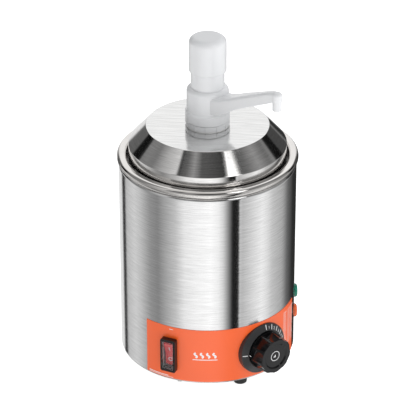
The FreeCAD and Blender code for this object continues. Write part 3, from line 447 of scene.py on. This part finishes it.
def cut_away(made, cutters, sharp=35):
    """Take the cutters' volumes out of a piece."""
    tools = []
    for number, cutter in enumerate(cutters):
        mesh = bpy.data.meshes.new(f"cutter_{number}")
        cutter.to_mesh(mesh)
        cutter.free()
        tool = bpy.data.objects.new(mesh.name, mesh)
        scene.collection.objects.link(tool)
        tools.append(tool)
        change = made.modifiers.new("cut", "BOOLEAN")
        change.operation = "DIFFERENCE"
        change.solver = "EXACT"
        change.object = tool
    graph = bpy.context.evaluated_depsgraph_get()
    mesh = bpy.data.meshes.new_from_object(made.evaluated_get(graph))
    made.modifiers.clear()
    made.data = mesh
    mesh.shade_smooth()
    mesh.set_sharp_from_angle(angle=math.radians(sharp))
    for tool in tools:
        bpy.data.objects.remove(tool)


def cylinder(radius, back, front, segments=64):
    """A cylinder facing -Y between two distances out, in millimetres."""
    solid = lathe(rounded([(0, back, 0), (radius, back, 0), (radius, front, 0), (0, front, 0)]),
                  segments)
    solid.transform(OUTWARD)
    return solid


# ---- housing -------------------------------------------------------------------------------

WINDOW_WIDTH, WINDOW_HEIGHT = 13, 30.2
BORE_RADII = {"temperature_knob": 5, "green_lamp_lens": 5.1, "orange_lamp_lens": 5.1,
              "cord_gland": 8.1}
CUT_FROM, CUT_TO = 78, 90   # distances out that the cutters reach between
FILM_START, FILM_SWEEP = -49, 117


def wall_cutters():
    """What the housing's wall is cut for: switch, dial shaft, lamps and cord."""
    window = box(WINDOW_WIDTH, WINDOW_HEIGHT, CUT_FROM, CUT_TO)
    window.transform(turned_to(SWITCH_BEARING, SWITCH_HEIGHT))
    cutters = [window]
    for node, radius in BORE_RADII.items():
        bore = cylinder(radius, CUT_FROM, CUT_TO, 48)
        bore.transform(turned_to(bearing_of(node), middle(node).z))
        cutters.append(bore)
    return cutters


def housing_shell():
    outside, flange, fillet = 85, 78.6, 2.5
    inside = outside - SHEET
    bottom, top = 11.1, 209.5
    shell = lathe(rounded([
        (outside, bottom, 0), (outside, top, fillet), (flange, top, 0), (flange, top - SHEET, 0),
        (inside, top - SHEET, fillet - SHEET), (inside, bottom + SHEET, 0),
        (flange, bottom + SHEET, 0), (flange, bottom, 0),
    ]), 288)
    made = piece("housing_shell", shell, "brushed_steel", "housing", ["outer_shell"])
    cut_away(made, wall_cutters())


def panel_film():
    back, edge = FILM_FACE - 0.35, 0.12
    low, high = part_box("control_panel_overlay")
    bottom, top = low.z / MM, high.z / MM
    film = lathe(rounded([
        (back, bottom, 0), (FILM_FACE, bottom, edge), (FILM_FACE, top, edge), (back, top, 0),
    ], 3), 96, FILM_START, FILM_SWEEP)
    made = piece("panel_film", film, "orange_film", "housing", ["control_panel_overlay"])
    cut_away(made, wall_cutters())


# ---- pot and lid ---------------------------------------------------------------------------

def pot_body():
    """The deep pot with its stepped mouth and rolled rim, drawn from the bottom's outside round."""
    bore, mouth, hem, rim = 73, 77.2, 80, 86.6
    bottom, ledge, rim_bottom, top = 71.2, 206, 210, 217.5
    pot = lathe(rounded([
        (0, bottom, 0), (bore + SHEET, bottom, 6), (bore + SHEET, ledge - SHEET, 0),
        (mouth + SHEET, ledge - SHEET, 0), (mouth + SHEET, top - SHEET, 2),
        (rim - SHEET, top - SHEET, 2.9), (rim - SHEET, rim_bottom + SHEET, 2.9),
        (hem, rim_bottom + SHEET, 0), (hem, rim_bottom, 0), (rim, rim_bottom, 3.7),
        (rim, top, 3.7), (mouth, top, 2.8), (mouth, ledge, 0.6), (bore, ledge, 0.8),
        (bore, bottom + SHEET, 5.2), (0, bottom + SHEET, 0),
    ]), 288)
    made = piece("pot_body", pot, "polished_steel", "pot", ["food_pot"])
    # The faces above the ledge and inside the mouth get the dark steel: painted shade and painted dark
    # reflection of the gap under the lid, not a different metal.
    painted_shade_from, painted_shade_within = (ledge - 0.5) * MM, (mouth + 0.3) * MM
    paint_faces(made, PAINTED_SHADE_STEEL, lambda centre: (centre.z > painted_shade_from
                                                    and centre.xy.length < painted_shade_within))


def lid_body():
    hole, disc, skirt = 15.7, 58.5, 75.3
    bottom, shoulder, top = 206.4, 227.2, 246
    mitre = 0.35            # how far the cone's inside corners are set back
    lid = lathe(rounded([
        (hole, top, 0), (disc, top, 0.9), (skirt, shoulder, 1.2), (skirt, bottom, 0),
        (skirt - SHEET, bottom, 0), (skirt - SHEET, shoulder - mitre, 0),
        (disc - mitre, top - SHEET, 0), (hole, top - SHEET, 0),
    ]), 288)
    made = piece("lid_body", lid, "lid_steel", "lid", ["lid"])
    disc_from = (top - 0.1) * MM
    paint_faces(made, DISC_STEEL, lambda centre: centre.z > disc_from)


# ---- pump ----------------------------------------------------------------------------------

def collar():
    """The screwed ring under the spout, with its ribs."""
    outside, recess, neck, bore, hole = 20.6, 19.6, 19.2, 17.8, 15.8
    recess_top, shoulder, bore_top = 248.8, 251.8, 261.3
    low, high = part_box("screw_collar")
    bottom, top = low.z / MM, high.z / MM
    solid = lathe(rounded([
        (recess, bottom, 0), (outside, bottom, 0), (outside, shoulder, 0.5), (neck, shoulder, 0.3),
        (neck, top, 0), (hole, top, 0), (hole, bore_top, 0), (bore, bore_top, 0),
        (bore, recess_top, 0), (recess, recess_top, 0),
    ]), 192)
    ribs, first_rib, rib_width, rib_height, rib_out = 12, -11, 1, 4.3, 0.5
    for step in range(ribs):
        rib = box(rib_width, rib_height, outside - 0.6, outside + rib_out, 0.2)
        rib.transform(turned_to(first_rib + step * 360 / ribs, (bottom + rib_height / 2) * MM))
        join(solid, rib)
    piece("collar", solid, "white_plastic", "lid", ["screw_collar"])


REACH = 89.6                # from the pump's axis to the nozzle's
ARM_START = 12
ARM_STEPS, ARM_STEP = 40, 1.95
ARM_ROOT, ARM_ROOT_HALF, ARM_TIP_HALF = 2, 14, 4.3


def arm_sections():
    """Outlines across the arm at steps along it: a box with its two upper edges well rounded."""
    line_end = 92
    above = [(ARM_START, 280.7), (22, 282), (34, 286.6), (46, 292.2), (83, 308.1), (87, 308.8),
             (line_end, 308.8)]
    below = [(ARM_START, 265.1), (20.5, 265.1), (34, 272), (46, 279.7), (line_end, 301.2)]

    def height_at(line, out):
        for (start, low), (end, high) in zip(line, line[1:]):
            if out <= end:
                return low + (high - low) * (out - start) / (end - start)
        return line[-1][1]

    def eased(line, out):
        """The height averaged over 4 mm each way, so that the line's corners are soft."""
        places = [min(max(out + aside, ARM_START), line_end) for aside in range(-4, 5)]
        return sum(height_at(line, nearby) for nearby in places) / len(places)

    for step in range(ARM_STEPS + 1):
        out = ARM_START + step * ARM_STEP
        along = (out - ARM_ROOT) / (REACH - ARM_ROOT)
        half = ARM_ROOT_HALF - along * (ARM_ROOT_HALF - ARM_TIP_HALF)
        top = eased(above, out)
        bottom = height_at(below, out) if out < 24 else eased(below, out)
        outline = rounded([(-half, bottom, 0.8), (half, bottom, 0.8), (half, top, 3.2),
                           (-half, top, 3.2)], 6)
        yield [Vector((point.x, -out * MM, point.y)) for point in outline]


def spout():
    """The turning body with its skirt over the collar, its arm and its nozzle."""
    outside, skirt, chamber, seal, rod_hole = 20, 21.2, 9, 7, 4.95
    flange, stem, skirt_inside = 17.4, 15.4, 19.6
    foot, flange_top, body_bottom, skirt_bottom, top = 259.1, 260.95, 265, 252.2, 285.8
    chamber_bottom, chamber_top = 263.5, 283.2
    lower_seal, upper_seal = foot + 2, 283.75
    solid = lathe(rounded([
        (seal, foot, 0), (flange, foot, 0), (flange, flange_top, 0), (stem, flange_top, 0),
        (stem, body_bottom, 0), (skirt_inside, body_bottom, 0), (skirt_inside, skirt_bottom, 0),
        (skirt, skirt_bottom, 0.8), (skirt, 261.3, 0.5), (outside, 262.9, 0.5),
        (outside, top, 4.2), (seal, top, 0), (seal, upper_seal, 0), (rod_hole, upper_seal, 0),
        (rod_hole, chamber_top, 0), (chamber, chamber_top, 0), (chamber, chamber_bottom, 0),
        (rod_hole, chamber_bottom, 0), (rod_hole, lower_seal, 0), (seal, lower_seal, 0),
    ]), 192)
    arm = bmesh.new()
    rings = [[arm.verts.new(point) for point in outline] for outline in arm_sections()]
    for this, following in zip(rings, rings[1:]):
        for number in range(len(this)):
            after = (number + 1) % len(this)
            arm.faces.new((this[number], this[after], following[after], following[number]))
    arm.faces.new(rings[0])
    arm.faces.new(rings[-1])
    bmesh.ops.recalc_face_normals(arm, faces=arm.faces)
    join(solid, arm)
    way, tip, elbow = 3.1, 4.3, 4.8
    tip_bottom, way_top, arm_top = 291, 304, 309
    nozzle = lathe(rounded([
        (way, tip_bottom, 0), (tip, tip_bottom, 0.4), (tip, 300, 0.5), (elbow, 301, 0.5),
        (elbow, arm_top, 3.2), (0, arm_top, 0), (0, way_top, 0), (way, way_top, 0),
    ], 12), 96)
    nozzle.transform(Matrix.Translation((0, -REACH * MM, 0)))
    join(solid, nozzle)
    piece("spout", solid, "white_plastic", "spout", ["spout_body"], place=turned_to(SPOUT_BEARING))


def guide():
    """The sleeve that the cap slides over, open at the top."""
    rod_hole, bore, outside = 4.95, 13.4, 15.9
    low, high = (corner.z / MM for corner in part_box("guide_sleeve"))
    ground = low + 1.45
    sleeve = lathe(rounded([
        (rod_hole, low, 0), (outside, low, 0), (outside, high, 0.6), (bore, high, 0.4),
        (bore, ground, 0), (rod_hole, ground, 0),
    ]), 144)
    piece("guide", sleeve, "white_plastic", "spout", ["guide_sleeve"])


def cap():
    """The press cap, with the socket inside it that holds the plunger's rod."""
    bore, outside, rod, socket = 16.25, 17.75, 4.65, 7.4
    bottom, socket_bottom, top = 302.4, 322, 336.6
    ceiling = top - 3
    shell = lathe(rounded([
        (bore, bottom, 0.4), (outside, bottom, 0.5), (outside, top, 6.2), (0, top, 0),
        (0, ceiling, 0), (rod, ceiling, 0), (rod, socket_bottom, 0), (socket, socket_bottom, 0),
        (socket, ceiling, 0), (bore, ceiling, 4.7),
    ], 12), 144)
    piece("cap", shell, "white_plastic", "plunger", ["press_cap"])


def coil_spring():
    """The return spring, which stands on the spout. The real spring gets shorter as the plunger goes
    down; this coil keeps one length.
    """
    coil_radius, wire_radius = 9.2 * MM, 0.75 * MM
    turns, steps, sides = 6, 288, 12
    low, high = (corner.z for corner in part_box("return_spring"))
    rise = high - low - 2 * wire_radius
    solid = bmesh.new()
    rings = []
    for step in range(steps + 1):
        angle = math.tau * turns * step / steps
        way = Vector((math.cos(angle), math.sin(angle), 0))
        centre = way * coil_radius + Vector((0, 0, low + wire_radius + rise * step / steps))
        rings.append([solid.verts.new(
            centre + (way * math.cos(round_wire) + Vector((0, 0, math.sin(round_wire)))) * wire_radius)
            for round_wire in (math.tau * side / sides for side in range(sides))])
    for this, following in zip(rings, rings[1:]):
        for side in range(sides):
            after = (side + 1) % sides
            solid.faces.new((this[side], this[after], following[after], following[side]))
    solid.faces.new(rings[0])
    solid.faces.new(rings[-1])
    bmesh.ops.recalc_face_normals(solid, faces=solid.faces)
    made = piece("coil_spring", solid, "valve_steel", None, ["return_spring"])
    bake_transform(made)


# ---- dial, knob, switch and lamps ----------------------------------------------------------

ROCKER_OUT, ROCKER_TILT = 82, 11
DIAL_PLACE = turned_to(KNOB_BEARING, KNOB_HEIGHT)
SWITCH_PLACE = turned_to(SWITCH_BEARING, SWITCH_HEIGHT)
ROCKER_PLACE = (SWITCH_PLACE @ Matrix.Translation((0, -ROCKER_OUT * MM, 0))
                @ Matrix.Rotation(math.radians(ROCKER_TILT), 4, "X"))
PRINT = 0.05                # how far a print stands off its face
ROOT = 0.02                 # how far a print starts below its face


def ring_print(radius, width, face):
    """A printed ring facing -Y."""
    inner, outer = radius - width / 2, radius + width / 2
    solid = lathe([Vector((across, up)) * MM for across, up in (
        (inner, face - ROOT), (outer, face - ROOT), (outer, face + PRINT),
        (inner, face + PRINT))], 64)
    solid.transform(OUTWARD)
    return solid


def bar_print(width, height, face, across=0.0, up=0.0, turn=0.0):
    """A printed bar facing -Y, moved across and up in its plane and turned about its middle."""
    solid = box(width, height, face - ROOT, face + PRINT)
    solid.transform(Matrix.Translation((across * MM, 0, up * MM))
                    @ Matrix.Rotation(math.radians(turn), 4, "Y"))
    return solid


def figures(text, height, face, across, up, turn=0.0):
    """Printed figures facing -Y."""
    curve = bpy.data.curves.new("figures", "FONT")
    curve.body = text
    capital_share = 0.7     # height of a figure for a font size of 1
    curve.size = height * MM / capital_share
    curve.align_x = "CENTER"
    curve.align_y = "CENTER"
    curve.extrude = 0.03 * MM
    written = bpy.data.objects.new("figures", curve)
    scene.collection.objects.link(written)
    graph = bpy.context.evaluated_depsgraph_get()
    mesh = bpy.data.meshes.new_from_object(written.evaluated_get(graph))
    bpy.data.objects.remove(written)
    solid = bmesh.new()
    solid.from_mesh(mesh)
    bpy.data.meshes.remove(mesh)
    solid.transform(Matrix.Translation((across * MM, -(face + 0.02) * MM, up * MM))
                    @ Matrix.Rotation(math.radians(turn), 4, "Y") @ OUTWARD)
    return solid


def dial_prints():
    """White ticks and numerals round the dial, from the upper left clockwise."""
    tick_radius, figure_radius, first_tick, pitch = 23, 22.4, 6, 18
    prints = bar_print(0.7, 4.6, DIAL_EDGE, -tick_radius, 0, 90)
    for number in range(7):
        clock = first_tick + number * pitch
        way = Vector((math.sin(math.radians(clock)), math.cos(math.radians(clock))))
        join(prints, bar_print(0.8, 4.4, DIAL_EDGE, *(way * tick_radius), clock))
        halfway = clock + pitch / 2
        join(prints, figures(str(number + 1), 2.6, DIAL_EDGE,
                             math.sin(math.radians(halfway)) * figure_radius,
                             math.cos(math.radians(halfway)) * figure_radius, halfway))
    for vertex in prints.verts:
        vertex.co.y -= (DIAL_RADIUS * MM - vertex.co.xz.length) * DIAL_SLOPE
    piece("dial_print", prints, "dial_black", "housing", material=WHITE_INK, place=DIAL_PLACE)


def knob_prints():
    """A ring with a small mark in the middle of the knob, and the pointer on its skirt."""
    skirt_radius, skirt_out = 18.9, 90.9
    prints = ring_print(4.9, 0.55, KNOB_FACE)
    join(prints, bar_print(0.8, 2.6, KNOB_FACE))
    join(prints, bar_print(0.8, 1.6, KNOB_FACE, -1.2, -0.4, 60))
    pointer = bar_print(2.2, 0.8, skirt_radius)
    pointer.transform(Matrix.Translation((0, -skirt_out * MM, 0))
                      @ Matrix.Rotation(math.radians(-90), 4, "Z"))
    join(prints, pointer)
    piece("knob_print", prints, "knob_black", "knob", material=WHITE_INK, place=DIAL_PLACE)


def rocker_prints():
    """The stroke and the circle on the rocker's two halves."""
    face_out, aside, slope = 3.2, 6.4, 7.1
    stroke = bar_print(0.8, 4.4, ROOT)
    stroke.transform(Matrix.Translation((0, -face_out * MM, aside * MM))
                     @ Matrix.Rotation(math.radians(slope), 4, "X"))
    circle = ring_print(1.9, 0.7, ROOT)
    circle.transform(Matrix.Translation((0, -face_out * MM, -aside * MM))
                     @ Matrix.Rotation(math.radians(-slope), 4, "X"))
    join(stroke, circle)
    piece("rocker_print", stroke, "rocker_red", "rocker", material=WHITE_INK, place=ROCKER_PLACE)


def printed_line(solid, points, width):
    """A line of print on the film through (arc, height) points, the arc measured from the front."""
    sides = []
    for number, point in enumerate(points):
        before = Vector(points[max(number - 1, 0)])
        after = Vector(points[min(number + 1, len(points) - 1)])
        way = (after - before).normalized()
        aside = Vector((-way.y, way.x)) * width / 2
        for side in (Vector(point) + aside, Vector(point) - aside):
            bearing = side.x / FILM_FACE
            for out in (FILM_FACE - ROOT, FILM_FACE + PRINT):
                sides.append(solid.verts.new(Vector((math.sin(bearing) * out, -math.cos(bearing) * out,
                                                     side.y)) * MM))
    rings = [sides[start:start + 4] for start in range(0, len(sides), 4)]
    for this, following in zip(rings, rings[1:]):
        for first, second in ((0, 1), (1, 3), (3, 2), (2, 0)):
            solid.faces.new((this[first], this[second], following[second], following[first]))
    for end in (rings[0], rings[-1]):
        solid.faces.new((end[0], end[1], end[3], end[2]))


def straight(start, end, up, steps=6):
    """Points of a level line of print."""
    return [(start + (end - start) * step / steps, up) for step in range(steps + 1)]


def film_prints():
    """A plain mark of rising steam over a line, with small bars where notes would be printed."""
    prints = bmesh.new()
    mark = math.radians(-7.6) * FILM_FACE
    steam_bottom, steam_height, sway, steam_steps = 38.6, 5.4, 1.3, 16
    for aside in (-9, -3, 3, 9):
        printed_line(prints, [(mark + aside + sway * math.sin(math.tau * step / steam_steps),
                               steam_bottom + step * steam_height / steam_steps)
                              for step in range(steam_steps + 1)], 1.7)
    printed_line(prints, straight(mark - 12, mark + 12, 36.4), 0.8)
    margin = math.radians(-47) * FILM_FACE
    printed_line(prints, straight(margin, margin + 22, 13.9), 0.7)
    printed_line(prints, straight(margin, margin + 27, 12.6), 0.5)
    above_switch = math.radians(-30) * FILM_FACE
    printed_line(prints, straight(above_switch - 2, above_switch + 2, 66.2), 0.6)
    first_row, row_pitch, longest = 63, 2.6, 6.5
    for column in (79, 88, 96):
        for row in range(15):
            end = column + longest - (row * 7 % 4) * 0.6
            printed_line(prints, straight(column, end, first_row - row * row_pitch, 3), 0.6)
    bmesh.ops.recalc_face_normals(prints, faces=prints.faces)
    piece("film_print", prints, "orange_film", "housing", material=WHITE_INK)


def lens(node, slot):
    """A domed lamp lens on the housing's wall."""
    radius, back, front = 6.75, 85.15, 88.2
    dome = lathe(rounded([
        (0, back, 0), (radius, back, 0), (radius, front, 2.6), (0, front, 0),
    ]), 64)
    dome.transform(OUTWARD)
    piece(node.replace("_lamp_lens", "_lens"), dome, slot, "housing", [node],
          place=turned_to(LAMP_BEARING, middle(node).z))


housing_shell()
panel_film()
pot_body()
lid_body()
collar()
spout()
guide()
cap()
coil_spring()
lens("green_lamp_lens", "green_lens")
lens("orange_lamp_lens", "orange_lens")
dial_prints()
knob_prints()
rocker_prints()
film_prints()


# ---- studio --------------------------------------------------------------------------------

# What the reflections see round the object, as (bearing from the camera, brightness), for rays
# that leave downwards, about level and upwards. The stops were set one by one until the steel
# showed its light and dark where the photograph has them.
LOW_RING = [
    (-180, 0.9), (-148, 0.85), (-144, 0.03), (-136, 0.03), (-132, 0.6), (-110, 0.77), (-98, 0.65),
    (-80, 0.35), (-68, 0.29), (-42, 0.68), (-30, 1.02), (-15, 1.15), (-5, 1.2), (4, 1.27),
    (14, 1.12), (20, 0.85), (26, 0.38), (31.5, 0.05), (33, 0.012), (40.8, 0.012),
    (41.4, 0.75), (46, 0.61), (75, 1.08), (84, 0.94), (93, 0.69), (114, 0.48),
    (127, 0.16), (145, 0.03), (166, 0.02), (180, 0.9),
]
MIDDLE_RING = [
    (-180, 1.06), (-165, 1.03), (-150, 0.14), (-131, 0.14), (-129, 0.006), (-116, 0.006),
    (-114, 0.22), (-90, 0.25), (-60, 0.5), (-20, 0.35), (20, 0.35), (60, 0.5), (114, 0.25),
    (117, 0.006), (129, 0.006), (131, 0.07), (150, 0.07), (165, 1.03), (180, 1.06),
]
HIGH_RING = [
    (-180, 1.06), (-140, 1.1), (-125, 0.3), (-95, 0.22), (-78, 0.5), (-56, 0.75), (-54, 0.02),
    (-51, 0.02), (-49, 0.1), (-40, 0.14), (-27, 0.34), (-12, 0.1), (20, 0.06), (38.6, 0.03),
    (39.6, 1.2), (41.4, 1.2), (42.4, 0.07), (70, 0.16), (90, 0.34), (110, 0.12), (130, 0.3),
    (145, 1.1), (180, 1.06),
]


def studio():
    """World light by direction: white for the camera, the rings for reflections, and a plain fill."""
    world = bpy.data.worlds.new("studio")
    scene.world = world
    world.use_nodes = True
    tree = world.node_tree
    tree.nodes.clear()

    def node(kind, *sources, **settings):
        made = tree.nodes.new(kind)
        for setting, choice in settings.items():
            setattr(made, setting, choice)
        for socket, source in zip(made.inputs, sources):
            if isinstance(source, bpy.types.NodeSocket):
                tree.links.new(source, socket)
            elif source is not None:
                socket.default_value = source
        return made

    direction = node("ShaderNodeTexCoord").outputs["Generated"]
    split = node("ShaderNodeSeparateXYZ", direction)
    along, across, up = split.outputs
    backward = node("ShaderNodeMath", across, -1.0, operation="MULTIPLY").outputs[0]
    turn = node("ShaderNodeMath", along, backward, operation="ARCTAN2").outputs[0]
    share = node("ShaderNodeMath", turn, 1 / math.tau, operation="MULTIPLY").outputs[0]
    shifted = node("ShaderNodeMath", share, 0.5 - CAMERA_BEARING / 360, operation="ADD").outputs[0]
    place = node("ShaderNodeMath", shifted, operation="FRACT").outputs[0]

    def ring(cards):
        ramp = node("ShaderNodeValToRGB", place)
        band = ramp.color_ramp
        band.interpolation = "LINEAR"
        for number, (bearing, bright) in enumerate(cards):
            spot = (bearing + 180) / 360
            if number == 0:
                stop = band.elements[0]
                stop.position = spot
            elif number == len(cards) - 1:
                stop = band.elements[-1]
                stop.position = spot
            else:
                stop = band.elements.new(spot)
            stop.color = (bright, bright, bright, 1)
        return ramp.outputs["Color"]

    def between(source, start, end):
        made = node("ShaderNodeMapRange", source, start, end, 0.0, 1.0)
        made.interpolation_type = "SMOOTHSTEP"
        return made.outputs["Result"]

    def mix(factor, first, second):
        made = node("ShaderNodeMix", data_type="RGBA")
        for number, source in ((0, factor), (6, first), (7, second)):
            if isinstance(source, bpy.types.NodeSocket):
                tree.links.new(source, made.inputs[number])
            else:
                made.inputs[number].default_value = source
        return made.outputs[2]

    overhead = (0.7, 0.69, 0.68, 1)
    fill_left, fill_right = (0.34, 0.34, 0.345, 1), (1.02, 1.03, 1.05, 1)
    lower = mix(between(up, -0.12, -0.04), ring(LOW_RING), ring(MIDDLE_RING))
    higher = mix(between(up, 0.40, 0.50), lower, ring(HIGH_RING))
    cards = mix(between(up, 0.86, 0.94), higher, overhead)
    fill = mix(between(along, -1.0, 1.0), fill_left, fill_right)
    rays = node("ShaderNodeLightPath")
    glossy = mix(rays.outputs["Is Glossy Ray"], fill, cards)
    seen = mix(rays.outputs["Is Camera Ray"], glossy, (1, 1, 1, 1))
    shine = node("ShaderNodeBackground", seen, 1.0)
    node("ShaderNodeOutputWorld", shine.outputs[0])


def floor():
    """A pale floor, bright enough to merge into the background away from the object."""
    drop = 0.2              # how far below the feet it lies
    plane = bmesh.new()
    bmesh.ops.create_grid(plane, x_segments=8, y_segments=8, size=6)
    mesh = bpy.data.meshes.new("floor")
    plane.to_mesh(mesh)
    plane.free()
    made = bpy.data.objects.new("floor", mesh)
    scene.collection.objects.link(made)
    finish = Finish("floor_paint", (0.8, 0.8, 0.8), Roughness=0.9)
    finish.set("Base Color", finish.mixed(finish.noise(3), (0.8, 0.8, 0.8, 1),
                                          (0.82, 0.82, 0.82, 1)))
    finish.set("Emission Color", (1, 1, 1, 1))
    finish.set("Emission Strength", 0.85)
    mesh.materials.append(finish.material)
    made.visible_glossy = False
    made.location.z = -drop * MM


def lamp(name, bearing, height, distance, size, power):
    """A soft area light aimed at the middle of the object."""
    data = bpy.data.lights.new(name, "AREA")
    data.shape = "DISK"
    data.size = size
    data.energy = power
    made = bpy.data.objects.new(name, data)
    scene.collection.objects.link(made)
    way = Vector((math.sin(math.radians(bearing)), -math.cos(math.radians(bearing)), height))
    made.location = CAMERA_AIM + way * distance
    made.rotation_euler = (-way).to_track_quat("-Z", "Y").to_euler()


def camera():
    data = bpy.data.cameras.new("camera")
    data.lens = LENS
    data.clip_start = 0.05
    made = bpy.data.objects.new("camera", data)
    scene.collection.objects.link(made)
    turn = math.radians(CAMERA_BEARING)
    rise = math.radians(CAMERA_ELEVATION)
    way = Vector((math.sin(turn) * math.cos(rise), -math.cos(turn) * math.cos(rise), math.sin(rise)))
    made.location = CAMERA_AIM + way * CAMERA_DISTANCE
    made.rotation_euler = way.to_track_quat("Z", "Y").to_euler()
    scene.camera = made


studio()
floor()
lamp("key", 35, 0.9, 1.2, 0.6, 2)
camera()
scene.view_settings.view_transform = "Standard"
